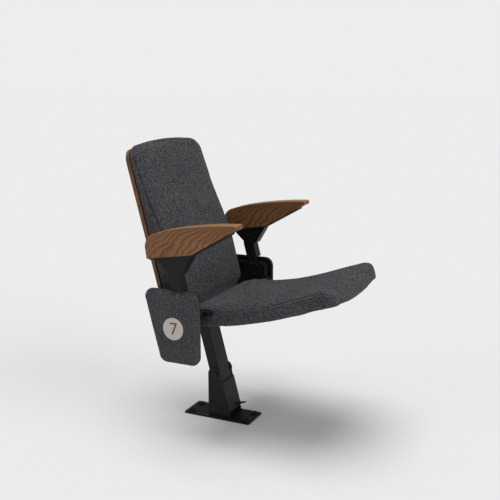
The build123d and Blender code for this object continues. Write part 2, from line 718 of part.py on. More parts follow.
for name, side in SIDES.items():
    with BuildPart() as hinge_arm:
        # boss outside the cushion, flat bar through the side slot, web down to a foot on the pan
        start, length = slab(side, ARM_PLATE_IN, ARM_PLATE_OUT)
        with BuildSketch(side_plane(start)):
            with Locations((SEAT_PIVOT_Y, SEAT_PIVOT_Z)):
                Circle(18)
            with BuildLine():
                Polyline((-84, 446), (-84, 456), (-50, 456), (-30, 446), close=True)
            make_face()
        extrude(amount=length)
        start, length = slab(side, SLOT_IN + 2, ARM_PLATE_OUT)
        with BuildSketch(side_plane(start)):
            with BuildLine():
                Polyline((-84, 446), (-84, 456), (-46, 456), (-46, 446), close=True)
            make_face()
        extrude(amount=length)
        start, length = slab(side, SLOT_IN + 2, SLOT_IN + 8)
        with BuildSketch(side_plane(start)):
            with BuildLine():
                Polyline((-84, 404), (-84, 456), (-46, 456), (-46, 404), close=True)
            make_face()
        extrude(amount=length)
        start, length = slab(side, SLOT_IN - 40, SLOT_IN + 8)
        with BuildSketch(side_plane(start)):
            with BuildLine():
                Polyline((-124, 404), (-124, 424), (-46, 424), (-46, 404), close=True)
            make_face()
        extrude(amount=length)
        add(seat_pan.part, mode=Mode.SUBTRACT)
        hinge_solid = hinge_arm.part.solids().sort_by(Axis.Z)[-1]
    with BuildPart() as hinge_arm_kept:
        add(hinge_solid)
        with BuildSketch(side_plane(side * ARM_PLATE_IN)):
            with Locations((SEAT_PIVOT_Y, SEAT_PIVOT_Z)):
                Circle(SEAT_PIN_R)
        extrude(amount=side * (ARM_PLATE_OUT - ARM_PLATE_IN), mode=Mode.SUBTRACT)
    write(hinge_arm_kept.part, f"seat_hinge_arm_{name}")
    if side < 0:
        right_arm = hinge_arm_kept.part
    else:
        left_arm = hinge_arm_kept.part

    start, length = slab(side, ARM_PLATE_IN, 276)
    with BuildPart() as pin:
        with BuildSketch(side_plane(start)):
            with Locations((SEAT_PIVOT_Y, SEAT_PIVOT_Z)):
                Circle(SEAT_PIN_R)
        extrude(amount=length)
    write(pin.part, f"pivot_pin_{name}")

    with BuildPart() as bush:
        start, length = slab(side, SIDE_IN - 2, 262)
        with BuildSketch(side_plane(start)):
            with Locations((SEAT_PIVOT_Y, SEAT_PIVOT_Z)):
                Circle(12)
        extrude(amount=length)
        with BuildSketch(side_plane(start)):
            with Locations((SEAT_PIVOT_Y, SEAT_PIVOT_Z)):
                Circle(16)
        extrude(amount=side * 2)
        with BuildSketch(side_plane(start)):
            with Locations((SEAT_PIVOT_Y, SEAT_PIVOT_Z)):
                Circle(SEAT_PIN_R + RUNNING_GAP)
        extrude(amount=length, mode=Mode.SUBTRACT)
    write(bush.part, f"hinge_bush_{name}")

    # closely wound torsion spring about the pin, its two ends run straight down inside the standard
    with BuildPart() as spring:
        with BuildSketch(Plane.XY.offset(SEAT_PIVOT_Z)):
            with Locations((side * (SPRING_IN + 1.5 * SPRING_PITCH), SEAT_PIVOT_Y + SPRING_R)):
                with GridLocations(SPRING_PITCH, 1, 4, 1):
                    Circle(SPRING_WIRE / 2)
        revolve(axis=Axis((0, SEAT_PIVOT_Y, SEAT_PIVOT_Z), (1, 0, 0)))
        with BuildSketch(Plane.XY.offset(SEAT_PIVOT_Z - 4)):
            with Locations(
                (side * SPRING_IN, SEAT_PIVOT_Y + SPRING_R - 0.4),
                (side * (SPRING_IN + 3 * SPRING_PITCH), SEAT_PIVOT_Y + SPRING_R - 0.4),
            ):
                Circle(SPRING_WIRE / 2 - 0.3)
        extrude(amount=-34)
    write(spring.part, f"return_spring_{name}")

    with BuildPart() as stop:
        start, length = slab(side, 240, SIDE_IN)
        with BuildSketch(side_plane(start)):
            with Locations((-72, 437)):
                Circle(8)
        extrude(amount=length)
    write(stop.part, f"seat_stop_{name}")

with BuildPart() as seat_cushion:
    with BuildSketch(side_plane(-SEAT_HALF)):
        with BuildLine():
            Spline(*SEAT_TOP)
            Spline(SEAT_TOP[-1], (-474, 558), (SEAT_FRONT + 1, 516), (-494, 502), SEAT_UNDER[-1])
            Spline(*SEAT_UNDER)
            Polyline(SEAT_UNDER[0], (-12, 400), (12, 422), SEAT_TOP[0])
        make_face()
    extrude(amount=2 * SEAT_HALF)
    with BuildSketch(Plane.XY.offset(300)):
        add(seat_plan)
    extrude(amount=400, mode=Mode.INTERSECT)
    for side in SIDES.values():
        start, length = slab(side, SLOT_IN, SEAT_HALF + 5)
        with BuildSketch(side_plane(start)):
            with BuildLine():
                Polyline(
                    (SLOT_FRONT, SLOT_LOW),
                    (SLOT_FRONT, SLOT_HIGH),
                    (40, SLOT_HIGH),
                    (40, SLOT_LOW),
                    close=True,
                )
            make_face()
        extrude(amount=length, mode=Mode.SUBTRACT)
    add(seat_pan.part, mode=Mode.SUBTRACT)
    add(right_arm, mode=Mode.SUBTRACT)
    add(left_arm, mode=Mode.SUBTRACT)
write(seat_cushion.part, "seat_cushion")
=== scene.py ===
"""Looks of the lecture-hall seat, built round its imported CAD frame.

Metres, +Z up, the chair faces -Y, the sitter's right is -X.
"""

import json
import math

import bmesh
import bpy
import numpy as np
from mathutils import Matrix, Vector
from mathutils.kdtree import KDTree


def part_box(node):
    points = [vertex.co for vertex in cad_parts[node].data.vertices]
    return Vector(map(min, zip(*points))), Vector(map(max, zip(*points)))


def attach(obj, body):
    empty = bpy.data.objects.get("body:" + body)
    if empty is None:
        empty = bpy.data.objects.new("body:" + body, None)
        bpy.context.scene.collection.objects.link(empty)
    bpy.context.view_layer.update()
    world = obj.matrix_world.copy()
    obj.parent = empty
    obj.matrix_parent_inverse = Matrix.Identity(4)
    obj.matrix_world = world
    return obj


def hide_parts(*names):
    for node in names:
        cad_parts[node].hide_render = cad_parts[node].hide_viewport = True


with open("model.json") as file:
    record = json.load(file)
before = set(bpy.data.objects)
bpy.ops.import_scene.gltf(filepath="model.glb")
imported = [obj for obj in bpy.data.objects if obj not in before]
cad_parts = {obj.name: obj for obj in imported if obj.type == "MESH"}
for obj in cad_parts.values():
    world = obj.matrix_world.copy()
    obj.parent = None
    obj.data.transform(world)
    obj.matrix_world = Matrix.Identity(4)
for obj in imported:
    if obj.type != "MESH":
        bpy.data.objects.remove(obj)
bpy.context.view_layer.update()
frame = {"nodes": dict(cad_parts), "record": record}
scene = bpy.context.scene

# ---------------------------------------------------------------- the seat's own dimensions
LEAN = math.radians(15)
PIVOT = Vector((0, 0.010, 0.163))
LEANED = Matrix.Translation(PIVOT) @ Matrix.Rotation(-LEAN, 4, "X")
LEANED_Y = Vector((0, math.cos(LEAN), -math.sin(LEAN)))
LEANED_Z = Vector((0, math.sin(LEAN), math.cos(LEAN)))

SEAT_HALF = 0.237
SEAT_NOSE_Y = -0.505
SEAT_CORNER = 0.053
SEAM_HALF = 0.236
BACK_HALF = 0.228
SHELL_ARC_R = (0.237**2 + 0.017**2) / (2 * 0.017)
SHELL_ARC_Y = 0.018 - SHELL_ARC_R
PANEL_IN = 0.284
PANEL_OUT = 0.300


# ---------------------------------------------------------------- node trees
class Nodes:
    """Short calls for building one shader node tree."""

    def __init__(self, tree):
        self.tree = tree

    def add(self, kind, **settings):
        node = self.tree.nodes.new(kind)
        for key, value in settings.items():
            setattr(node, key, value)
        return node

    def put(self, socket, value):
        if isinstance(value, bpy.types.NodeSocket):
            self.tree.links.new(value, socket)
        else:
            socket.default_value = value

    def math(self, operation, a, b=0.0, c=0.0, clamp=False):
        node = self.add("ShaderNodeMath", operation=operation, use_clamp=clamp)
        for socket, value in zip(node.inputs, (a, b, c)):
            self.put(socket, value)
        return node.outputs[0]

    def vector(self, operation, a, b=(0, 0, 0)):
        node = self.add("ShaderNodeVectorMath", operation=operation)
        self.put(node.inputs[0], a)
        self.put(node.inputs[1], b)
        return node.outputs["Value" if operation in ("DOT_PRODUCT", "LENGTH") else "Vector"]

    def join(self, x, y, z):
        node = self.add("ShaderNodeCombineXYZ")
        for socket, value in zip(node.inputs, (x, y, z)):
            self.put(socket, value)
        return node.outputs[0]

    def split(self, vector):
        node = self.add("ShaderNodeSeparateXYZ")
        self.put(node.inputs[0], vector)
        return node.outputs

    def noise(self, vector, scale, detail=2.0, roughness=0.5, dimensions="3D"):
        node = self.add("ShaderNodeTexNoise", noise_dimensions=dimensions)
        self.put(node.inputs["Vector"], vector)
        node.inputs["Scale"].default_value = scale
        node.inputs["Detail"].default_value = detail
        node.inputs["Roughness"].default_value = roughness
        return node.outputs[0]

    def ramp(self, factor, *stops):
        node = self.add("ShaderNodeValToRGB")
        self.put(node.inputs[0], factor)
        elements = node.color_ramp.elements
        while len(elements) < len(stops):
            elements.new(0.5)
        for element, (position, colour) in zip(elements, stops):
            element.position = position
            element.color = (*colour, 1)
        return node.outputs[0]

    def mix(self, factor, a, b, blend="MIX"):
        node = self.add("ShaderNodeMix", data_type="RGBA", blend_type=blend)
        self.put(node.inputs[0], factor)
        self.put(node.inputs[6], a)
        self.put(node.inputs[7], b)
        return node.outputs[2]

    def bump(self, height, strength, distance):
        node = self.add("ShaderNodeBump")
        self.put(node.inputs["Height"], height)
        node.inputs["Strength"].default_value = strength
        node.inputs["Distance"].default_value = distance
        return node.outputs[0]


def material(name, paint):
    """A Principled material whose colour, roughness and normal come from paint(nodes, place)."""
    mat = bpy.data.materials.new(name)
    mat.use_nodes = True
    nodes = Nodes(mat.node_tree)
    shader = mat.node_tree.nodes["Principled BSDF"]
    place = nodes.add("ShaderNodeTexCoord")
    colour, roughness, normal = paint(nodes, place)
    nodes.put(shader.inputs["Base Color"], colour)
    nodes.put(shader.inputs["Roughness"], roughness)
    nodes.put(shader.inputs["Normal"], normal)
    return mat, shader


# ---------------------------------------------------------------- cloth
THREAD = 0.0026


def weave_group():
    """Plain weave on a plane measured in threads: height of the yarns and a shade for each of them."""
    group = bpy.data.node_groups.new("plain_weave", "ShaderNodeTree")
    group.interface.new_socket("Plane", in_out="INPUT", socket_type="NodeSocketVector")
    group.interface.new_socket("Height", in_out="OUTPUT", socket_type="NodeSocketFloat")
    group.interface.new_socket("Shade", in_out="OUTPUT", socket_type="NodeSocketFloat")
    n = Nodes(group)
    start = n.add("NodeGroupInput")
    end = n.add("NodeGroupOutput")
    wobble = n.noise(start.outputs[0], 0.35, 1.0)
    u, v, _ = n.split(start.outputs[0])
    u = n.math("MULTIPLY_ADD", wobble, 0.7, u)
    v = n.math("MULTIPLY_ADD", wobble, -0.7, v)
    column = n.math("FLOOR", u)
    row = n.math("FLOOR", v)
    across_u = n.math("SUBTRACT", n.math("SUBTRACT", u, column), 0.5)
    across_v = n.math("SUBTRACT", n.math("SUBTRACT", v, row), 0.5)
    warp_round = n.math("COSINE", n.math("MULTIPLY", across_u, math.pi))
    weft_round = n.math("COSINE", n.math("MULTIPLY", across_v, math.pi))
    warp_phase = n.math("MULTIPLY", n.math("ADD", n.math("SUBTRACT", v, 0.5), column), math.pi)
    weft_phase = n.math("MULTIPLY", n.math("ADD", n.math("ADD", u, 0.5), row), math.pi)
    warp_rise = n.math("MULTIPLY_ADD", n.math("COSINE", warp_phase), 0.4, 0.6)
    weft_rise = n.math("MULTIPLY_ADD", n.math("COSINE", weft_phase), 0.4, 0.6)
    warp = n.math("MULTIPLY", warp_round, warp_rise)
    weft = n.math("MULTIPLY", weft_round, weft_rise)
    warp_yarn = n.noise(
        n.join(n.math("MULTIPLY", column, 3.17), n.math("MULTIPLY", v, 0.22), 0.0), 1.0, 1.0
    )
    weft_yarn = n.noise(
        n.join(n.math("MULTIPLY", u, 0.22), n.math("MULTIPLY", row, 3.17), 9.0), 1.0, 1.0
    )
    on_top = n.math("GREATER_THAN", warp, weft)
    step = n.math("MULTIPLY", n.math("SUBTRACT", warp_yarn, weft_yarn), on_top)
    yarns = n.math("ADD", weft_yarn, step)
    upright = n.join(n.math("MULTIPLY", u, 0.80), n.math("MULTIPLY", v, 0.20), 3.0)
    upright = n.noise(upright, 1.0, 2.0, 0.6)
    level = n.join(n.math("MULTIPLY", u, 0.20), n.math("MULTIPLY", v, 0.80), 6.0)
    level = n.noise(level, 1.0, 2.0, 0.6)
    slubs = n.math("MULTIPLY_ADD", level, 0.6, n.math("MULTIPLY", upright, 0.4))
    n.put(end.inputs["Height"], n.math("MAXIMUM", warp, weft))
    shade = n.math("MULTIPLY_ADD", slubs, 1.6, n.math("MULTIPLY_ADD", yarns, 0.8, -0.7))
    n.put(end.inputs["Shade"], shade)
    return group


def paint_cloth(group, dark, light, strength):
    def paint(n, place):
        threads = n.vector("SCALE", place.outputs["Object"])
        threads.node.inputs["Scale"].default_value = 1 / THREAD
        x, y, z = n.split(threads)
        facing = n.split(place.outputs["Normal"])
        heights, shades, weights = [], [], []
        for axis, (a, b) in enumerate(((y, z), (x, z), (x, y))):
            weave = n.add("ShaderNodeGroup", node_tree=group)
            n.put(weave.inputs[0], n.join(a, b, 0.0))
            weight = n.math("POWER", n.math("ABSOLUTE", facing[axis]), 8.0)
            weights.append(weight)
            heights.append(n.math("MULTIPLY", weave.outputs["Height"], weight))
            shades.append(n.math("MULTIPLY", weave.outputs["Shade"], weight))
        total = n.math("ADD", n.math("ADD", weights[0], weights[1]), weights[2])
        height = n.math("ADD", n.math("ADD", heights[0], heights[1]), heights[2])
        shade = n.math("ADD", n.math("ADD", shades[0], shades[1]), shades[2])
        height = n.math("DIVIDE", height, total)
        shade = n.math("DIVIDE", shade, total)
        dashes = n.vector("MULTIPLY", place.outputs["Object"], (130.0, 240.0, 260.0))
        blotch = n.noise(dashes, 1.0, 3.0, 0.65)
        wear = n.noise(place.outputs["Object"], 9.0, 2.0, 0.5)
        fuzz = n.noise(place.outputs["Object"], 2600.0, 2.0, 0.7)
        tone = n.math("MULTIPLY_ADD", blotch, 1.5, shade)
        tone = n.math("MULTIPLY_ADD", wear, 0.2, tone)
        tone = n.math("MULTIPLY_ADD", fuzz, 0.25, tone)
        # Yarn height also brightens the tone: the crowns of the yarns are painted lighter and the
        # hollows between them darker, a painted shade in the weave.
        tone = n.math("MULTIPLY_ADD", height, 0.25, n.math("SUBTRACT", tone, 1.15))
        contrast = n.math("MULTIPLY_ADD", n.math("ABSOLUTE", facing[0]), -0.30, 1.12)
        contrast = n.math("MULTIPLY_ADD", n.math("ABSOLUTE", facing[2]), 0.50, contrast)
        tone = n.math("MULTIPLY_ADD", n.math("SUBTRACT", tone, 0.5), contrast, 0.5)
        middle = tuple((a + b) / 2 for a, b in zip(dark, light))
        colour = n.ramp(tone, (0.12, dark), (0.5, middle), (0.88, light))
        rough = n.math("MULTIPLY_ADD", fuzz, 0.12, 0.84)
        bump = n.math("MULTIPLY_ADD", fuzz, 0.25, height)
        return colour, rough, n.bump(bump, strength, 0.0006)

    return paint


weave = weave_group()
fabric, fabric_shader = material(
    "melange_wool", paint_cloth(weave, (0.008, 0.0084, 0.0098), (0.109, 0.112, 0.122), 0.9)
)
fabric_shader.inputs["Sheen Weight"].default_value = 0.05
fabric_shader.inputs["Sheen Roughness"].default_value = 0.6
fabric_shader.inputs["Specular IOR Level"].default_value = 0.1


# ---------------------------------------------------------------- walnut
PLY = 0.0025


def plywood_edge(n, place, colour):
    """Darker cross-grained plies and glue lines, counted through the shell's thickness."""
    lifted = n.vector("SUBTRACT", place.outputs["Object"], tuple(PIVOT))
    height = n.vector("DOT_PRODUCT", lifted, tuple(LEANED_Y))
    x = n.split(place.outputs["Object"])[0]
    bow = n.vector("LENGTH", n.join(x, n.math("SUBTRACT", height, SHELL_ARC_Y), 0.0))
    layer = n.math("DIVIDE", n.math("SUBTRACT", bow, SHELL_ARC_R - 0.0003), PLY)
    half = n.math("FRACT", n.math("MULTIPLY", n.math("FLOOR", layer), 0.5))
    odd = n.math("GREATER_THAN", half, 0.25)
    glue = n.math("LESS_THAN", n.math("FRACT", layer), 0.12)
    inside = n.math("GREATER_THAN", layer, 0.3)
    inside = n.math("MULTIPLY", inside, n.math("LESS_THAN", layer, 4.7))
    odd = n.math("MULTIPLY", odd, n.math("MULTIPLY", inside, 0.55))
    glue = n.math("MULTIPLY", glue, n.math("MULTIPLY", inside, 0.7))
    colour = n.mix(odd, colour, (0.055, 0.026, 0.012, 1))
    return n.mix(glue, colour, (0.030, 0.014, 0.007, 1))


def paint_walnut(along, across, depth, apex, slope, bend, pitch, plies=False):
    """Plain-sawn walnut.

    along, across and depth are unit vectors of the board, apex is a point under its figure.
    slope, bend and pitch shape the growth rings; plies adds the layers of moulded plywood.
    """

    def paint(n, place):
        point = n.vector("SUBTRACT", place.outputs["Object"], tuple(apex))
        run = n.vector("DOT_PRODUCT", point, tuple(along))
        side = n.vector("DOT_PRODUCT", point, tuple(across))
        deep = n.vector("DOT_PRODUCT", point, tuple(depth))

        def figure(stretch_run, stretch_side, stretch_deep, detail, roughness=0.5):
            stretched = n.join(
                n.math("MULTIPLY", run, stretch_run),
                n.math("MULTIPLY", side, stretch_side),
                n.math("MULTIPLY", deep, stretch_deep),
            )
            return n.noise(stretched, 1.0, detail, roughness)

        drift = figure(9.0, 14.0, 1.0, 2.0)
        ripple = figure(30.0, 60.0, 1.0, 2.0)
        ring = n.math("MULTIPLY", run, slope)
        ring = n.math("MULTIPLY_ADD", n.math("MULTIPLY", side, side), bend, ring)
        ring = n.math("MULTIPLY_ADD", deep, 0.5, ring)
        wander = 1.8 if plies else 4.2
        ring = n.math("MULTIPLY_ADD", drift, wander * pitch, ring)
        ring = n.math("MULTIPLY_ADD", ripple, 0.35 * pitch, ring)
        phase = n.math("FRACT", n.math("DIVIDE", ring, pitch))
        late = n.math("POWER", phase, 2.6)
        fade = n.math("MULTIPLY", n.math("SUBTRACT", 1.0, phase), 9.0, clamp=True)
        late = n.math("MULTIPLY", late, fade)
        fibre = figure(22.0, 900.0, 900.0, 3.0, 0.6)
        pores = figure(130.0, 2600.0, 2600.0, 1.0)
        pores = n.math("MULTIPLY", n.math("SUBTRACT", pores, 0.60), 7.0, clamp=True)
        broad = figure(4.0, 16.0, 1.0, 2.0)
        tone = n.math("MULTIPLY_ADD", late, -0.50, 0.64)
        tone = n.math("MULTIPLY_ADD", n.math("SUBTRACT", fibre, 0.5), 0.42, tone)
        tone = n.math("MULTIPLY_ADD", n.math("SUBTRACT", broad, 0.5), 0.5, tone)
        tone = n.math("MULTIPLY_ADD", pores, -0.16, tone)
        # Painted light: faces turned up are painted lighter (painted highlight on the tops), and faces
        # turned down are painted darker (painted shade on the undersides).
        upward = n.split(place.outputs["Normal"])[2]
        painted_top_highlight = n.math("MULTIPLY_ADD", upward, 2.5, -1.2, clamp=True)
        tone = n.math("MULTIPLY_ADD", painted_top_highlight, 0.40, tone)
        shaded = n.math("MULTIPLY_ADD", upward, -2.5, -1.2, clamp=True)
        tone = n.math("MULTIPLY_ADD", shaded, -0.35, tone)
        colour = n.ramp(
            tone,
            (0.05, (0.060, 0.024, 0.008)),
            (0.45, (0.165, 0.073, 0.028)),
            (0.90, (0.345, 0.172, 0.072)),
        )
        if plies:
            colour = plywood_edge(n, place, colour)
        rough = n.math("MULTIPLY_ADD", pores, 0.20, n.math("MULTIPLY_ADD", fibre, 0.14, 0.36))
        relief = n.math("MULTIPLY_ADD", pores, -1.0, n.math("MULTIPLY", fibre, 0.35))
        return colour, rough, n.bump(relief, 0.35, 0.0004)

    return paint


def walnut(name, along, across, depth, apex, slope, bend, pitch, plies=False):
    mat, shader = material(name, paint_walnut(along, across, depth, apex, slope, bend, pitch, plies))
    shader.inputs["Coat Weight"].default_value = 0.05
    shader.inputs["Coat Roughness"].default_value = 0.35
    shader.inputs["Specular IOR Level"].default_value = 0.22
    return mat


arm_walnut = {
    name: walnut(
        f"walnut_arm_{name}",
        Vector((0, 0.985, -0.17)),
        Vector((0, 0.17, 0.985)),
        Vector((side, 0, 0)),
        Vector((side * 0.300, 0.10, 0.600)),
        0.17,
        2.2,
        0.0056,
    )
    for name, side in (("right", -1), ("left", 1))
}
shell_walnut = walnut(
    "walnut_ply",
    LEANED_Z,
    Vector((1, 0, 0)),
    LEANED_Y,
    LEANED @ Vector((0.03, 0, 0.45)),
    0.11,
    1.9,
    0.0085,
    True,
)


# ---------------------------------------------------------------- metals, plastics and paint
def paint_powder(colour, grain, rough):
    """Fine orange-peel powder coat with faint dust and worn patches."""

    def paint(n, place):
        peel = n.noise(place.outputs["Object"], grain, 2.0, 0.6)
        dust = n.noise(place.outputs["Object"], 14.0, 3.0, 0.6)
        pale = tuple(min(1, c * 1.9) for c in colour)
        shade = n.math("MULTIPLY_ADD", peel, 0.35, n.math("MULTIPLY", dust, 0.65))
        tint = n.ramp(shade, (0.3, colour), (0.75, pale))
        roughness = n.math("MULTIPLY_ADD", dust, 0.16, n.math("MULTIPLY_ADD", peel, 0.10, rough - 0.13))
        return tint, roughness, n.bump(peel, 0.16, 0.0004)

    return paint


def paint_brushed(colour, axis, rough):
    """Metal turned or brushed along one axis."""

    def paint(n, place):
        stretch = [900.0, 900.0, 900.0]
        stretch[axis] = 25.0
        lines = n.noise(n.vector("MULTIPLY", place.outputs["Object"], tuple(stretch)), 1.0, 2.0, 0.6)
        cloud = n.noise(place.outputs["Object"], 30.0, 2.0)
        low = tuple(c * 0.82 for c in colour)
        shade = n.math("MULTIPLY_ADD", lines, 0.6, n.math("MULTIPLY", cloud, 0.4))
        tint = n.ramp(shade, (0.3, low), (0.7, colour))
        return tint, n.math("MULTIPLY_ADD", lines, 0.18, rough), n.bump(lines, 0.12, 0.0002)

    return paint


def paint_moulded(colour, grain, rough):
    """Moulded plastic or rubber with a fine leather-like grain."""

    def paint(n, place):
        cells = n.add("ShaderNodeTexVoronoi")
        n.put(cells.inputs["Vector"], place.outputs["Object"])
        cells.inputs["Scale"].default_value = grain
        cell = cells.outputs["Distance"]
        smear = n.noise(place.outputs["Object"], 24.0, 3.0)
        pale = tuple(c * 1.5 for c in colour)
        tint = n.ramp(smear, (0.3, colour), (0.7, pale))
        return tint, n.math("MULTIPLY_ADD", smear, 0.14, rough), n.bump(cell, 0.18, 0.0004)

    return paint


black_steel, steel_shader = material(
    "black_powder_coat", paint_powder((0.0055, 0.0055, 0.0057), 1100.0, 0.50)
)
steel_shader.inputs["Specular IOR Level"].default_value = 0.22
black_screws, screw_shader = material("black_oxide", paint_powder((0.010, 0.010, 0.0105), 600.0, 0.36))
screw_shader.inputs["Metallic"].default_value = 0.35
bright_steel, bright_shader = material("turned_steel", paint_brushed((0.55, 0.55, 0.56), 0, 0.28))
bright_shader.inputs["Metallic"].default_value = 1.0
badge_metal, badge_shader = material(
    "badge_aluminium", paint_brushed((0.575, 0.522, 0.470), 1, 0.42)
)
badge_shader.inputs["Metallic"].default_value = 0.25
nylon, _ = material("nylon", paint_moulded((0.030, 0.030, 0.031), 900.0, 0.45))
rubber, _ = material("rubber", paint_moulded((0.012, 0.012, 0.012), 500.0, 0.75))
pan_plastic, _ = material("grained_pan", paint_moulded((0.016, 0.016, 0.017), 700.0, 0.55))
badge_ink, _ = material("badge_print", paint_powder((0.040, 0.031, 0.024), 900.0, 0.60))

SLOT_LOOK = {
    "black_steel": black_steel,
    "black_screws": black_screws,
    "bright_steel": bright_steel,
    "badge_metal": badge_metal,
    "nylon": nylon,
    "rubber": rubber,
    "black_pan": pan_plastic,
    "fabric": fabric,
    "walnut": shell_walnut,
}
for part in frame["record"]["subparts"]:
    node = frame["nodes"][part["node"]]
    look = SLOT_LOOK[part["material_slot"]]
    if node.name.startswith("armrest_"):
        look = arm_walnut[node.name.split("_")[1]]
    node.data.materials.clear()
    node.data.materials.append(look)


# ---------------------------------------------------------------- soft meshes
def new_object(name, points, faces):
    mesh = bpy.data.meshes.new(name)
    mesh.from_pydata([tuple(p) for p in points], [], faces)
    mesh.update()
    obj = bpy.data.objects.new(name, mesh)
    scene.collection.objects.link(obj)
    return obj


def loft(name, rings):
    """Closed skin through rings of equally many points, with flat caps at its two ends."""
    count = len(rings[0])
    points = [p for ring in rings for p in ring]
    faces = []
    for i in range(len(rings) - 1):
        for j in range(count):
            k = (j + 1) % count
            faces.append((i * count + j, i * count + k, (i + 1) * count + k, (i + 1) * count + j))
    faces.append(tuple(range(count))[::-1])
    faces.append(tuple(range((len(rings) - 1) * count, len(rings) * count)))
    obj = new_object(name, points, faces)
    fix_normals(obj)
    return obj


def fix_normals(obj):
    skin = bmesh.new()
    skin.from_mesh(obj.data)
    bmesh.ops.recalc_face_normals(skin, faces=skin.faces)
    skin.to_mesh(obj.data)
    skin.free()


def bake_modifiers(obj):
    """Replaces the mesh by what its modifiers make of it."""
    graph = bpy.context.evaluated_depsgraph_get()
    made = bpy.data.meshes.new_from_object(obj.evaluated_get(graph))
    obj.modifiers.clear()
    obj.data = made


def points_of(obj):
    flat = np.empty(len(obj.data.vertices) * 3)
    obj.data.vertices.foreach_get("co", flat)
    return flat.reshape(-1, 3)


def move_to(obj, points):
    obj.data.vertices.foreach_set("co", points.astype(np.float32).ravel())
    obj.data.update()


def normals_of(obj):
    flat = np.empty(len(obj.data.vertices) * 3)
    obj.data.vertices.foreach_get("normal", flat)
    return flat.reshape(-1, 3)


def relax(obj, rounds, amount=0.5):
    skin = bmesh.new()
    skin.from_mesh(obj.data)
    for _ in range(rounds):
        bmesh.ops.smooth_vert(
            skin, verts=skin.verts, factor=amount, use_axis_x=True, use_axis_y=True, use_axis_z=True
        )
    skin.to_mesh(obj.data)
    skin.free()


def remesh(obj, voxel, rounds=3):
    mod = obj.modifiers.new("remesh", "REMESH")
    mod.mode = "VOXEL"
    mod.voxel_size = voxel
    bake_modifiers(obj)
    relax(obj, rounds)


def inflate(obj, hold, cap, pressure=4.0, frames=20):
    """Puffs the skin up with a short cloth run.

    hold is 0 to 1 for each point, cap the furthest a point may go.
    """
    before = points_of(obj)
    group = obj.vertex_groups.new(name="hold")
    for level in range(1, 11):
        picked = np.nonzero(np.rint(hold * 10) == level)[0]
        if len(picked):
            group.add(picked.tolist(), level / 10, "REPLACE")
    mod = obj.modifiers.new("cloth", "CLOTH")
    rules = mod.settings
    rules.quality = 4
    rules.mass = 0.3
    rules.use_pressure = True
    rules.uniform_pressure_force = pressure
    rules.tension_stiffness = 18
    rules.compression_stiffness = 18
    rules.shear_stiffness = 8
    rules.bending_stiffness = 1.5
    rules.effector_weights.gravity = 0
    rules.vertex_group_mass = "hold"
    mod.point_cache.frame_start = 1
    mod.point_cache.frame_end = frames
    for number in range(1, frames + 1):
        scene.frame_set(number)
    graph = bpy.context.evaluated_depsgraph_get()
    puffed = obj.evaluated_get(graph).to_mesh()
    after = np.empty(len(puffed.vertices) * 3)
    puffed.vertices.foreach_get("co", after)
    after = after.reshape(-1, 3)
    obj.evaluated_get(graph).to_mesh_clear()
    obj.modifiers.clear()
    scene.frame_set(1)
    shift = after - before
    length = np.linalg.norm(shift, axis=1)
    most = cap * (1 - hold)
    shift *= np.minimum(1, most / np.maximum(length, 1e-9))[:, None]
    move_to(obj, before + shift)
    obj.vertex_groups.clear()
    relax(obj, 2)


def subdivide(obj):
    mod = obj.modifiers.new("subdivide", "SUBSURF")
    mod.levels = 1
    mod.render_levels = 1
    bake_modifiers(obj)


def spread(path, step=0.0015):
    """Points along a polyline, evenly spaced."""
    path = np.array(path, float)
    points = []
    for a, b in zip(path[:-1], path[1:]):
        count = max(1, int(np.linalg.norm(b - a) / step))
        points.extend(a + (b - a) * np.linspace(0, 1, count, endpoint=False)[:, None])
    return np.array([*points, path[-1]])


def distance_to(points, line):
    tree = KDTree(len(line))
    for i, p in enumerate(line):
        tree.insert(p, i)
    tree.balance()
    return np.array([tree.find(p)[2] for p in points])


def onto_skin(obj, path):
    """The path's points, each moved to the nearest point of the skin."""
    return np.array([obj.closest_point_on_mesh(Vector(p))[1][:] for p in spread(path)])


def sew(obj, path, depth=0.0024, width=0.0042, lip=0.0007):
    """Sinks a seam into the skin along a path, with a small raised lip on each side."""
    line = onto_skin(obj, path)
    away = distance_to(points_of(obj), line)
    sink = -depth * np.exp(-((away / width) ** 2))
    sink += lip * np.exp(-(((away - 2.1 * width) / width) ** 2))
    move_to(obj, points_of(obj) + normals_of(obj) * sink[:, None])
    return line


def finish_soft(obj, body, node):
    obj.data.materials.clear()
    obj.data.materials.append(fabric)
    obj.data.polygons.foreach_set("use_smooth", [True] * len(obj.data.polygons))
    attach(obj, body)
    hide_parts(node)


def smooth_curve(points, count):
    """Evenly spaced points on a Catmull-Rom curve through the given points."""
    p = np.array(points, float)
    p = np.vstack([2 * p[0] - p[1], p, 2 * p[-1] - p[-2]])
    out = []
    for i in range(1, len(p) - 2):
        t = np.linspace(0, 1, 24, endpoint=False)[:, None]
        a, b, c, d = p[i - 1], p[i], p[i + 1], p[i + 2]
        out.append(
            0.5
            * (
                2 * b
                + (c - a) * t
                + (2 * a - 5 * b + 4 * c - d) * t**2
                + (3 * b - a - 3 * c + d) * t**3
            )
        )
    out = np.vstack([*out, p[-2]])
    run = np.concatenate([[0], np.cumsum(np.linalg.norm(np.diff(out, axis=0), axis=1))])
    want = np.linspace(0, run[-1], count)
    return np.stack([np.interp(want, run, out[:, k]) for k in range(2)], axis=1)


def outward(ring):
    """Unit normals of a closed 2-D ring, pointing out."""
    step = np.roll(ring, -1, axis=0) - np.roll(ring, 1, axis=0)
    normal = np.stack([step[:, 1], -step[:, 0]], axis=1)
    normal /= np.linalg.norm(normal, axis=1)[:, None]
    x, y = ring[:, 0], ring[:, 1]
    area = np.sum(x * np.roll(y, -1) - np.roll(x, -1) * y)
    return normal if area > 0 else -normal


def between(value, low, high):
    """0 below low, 1 above high, smooth in between."""
    t = np.clip((value - low) / (high - low), 0, 1)
    return t * t * (3 - 2 * t)


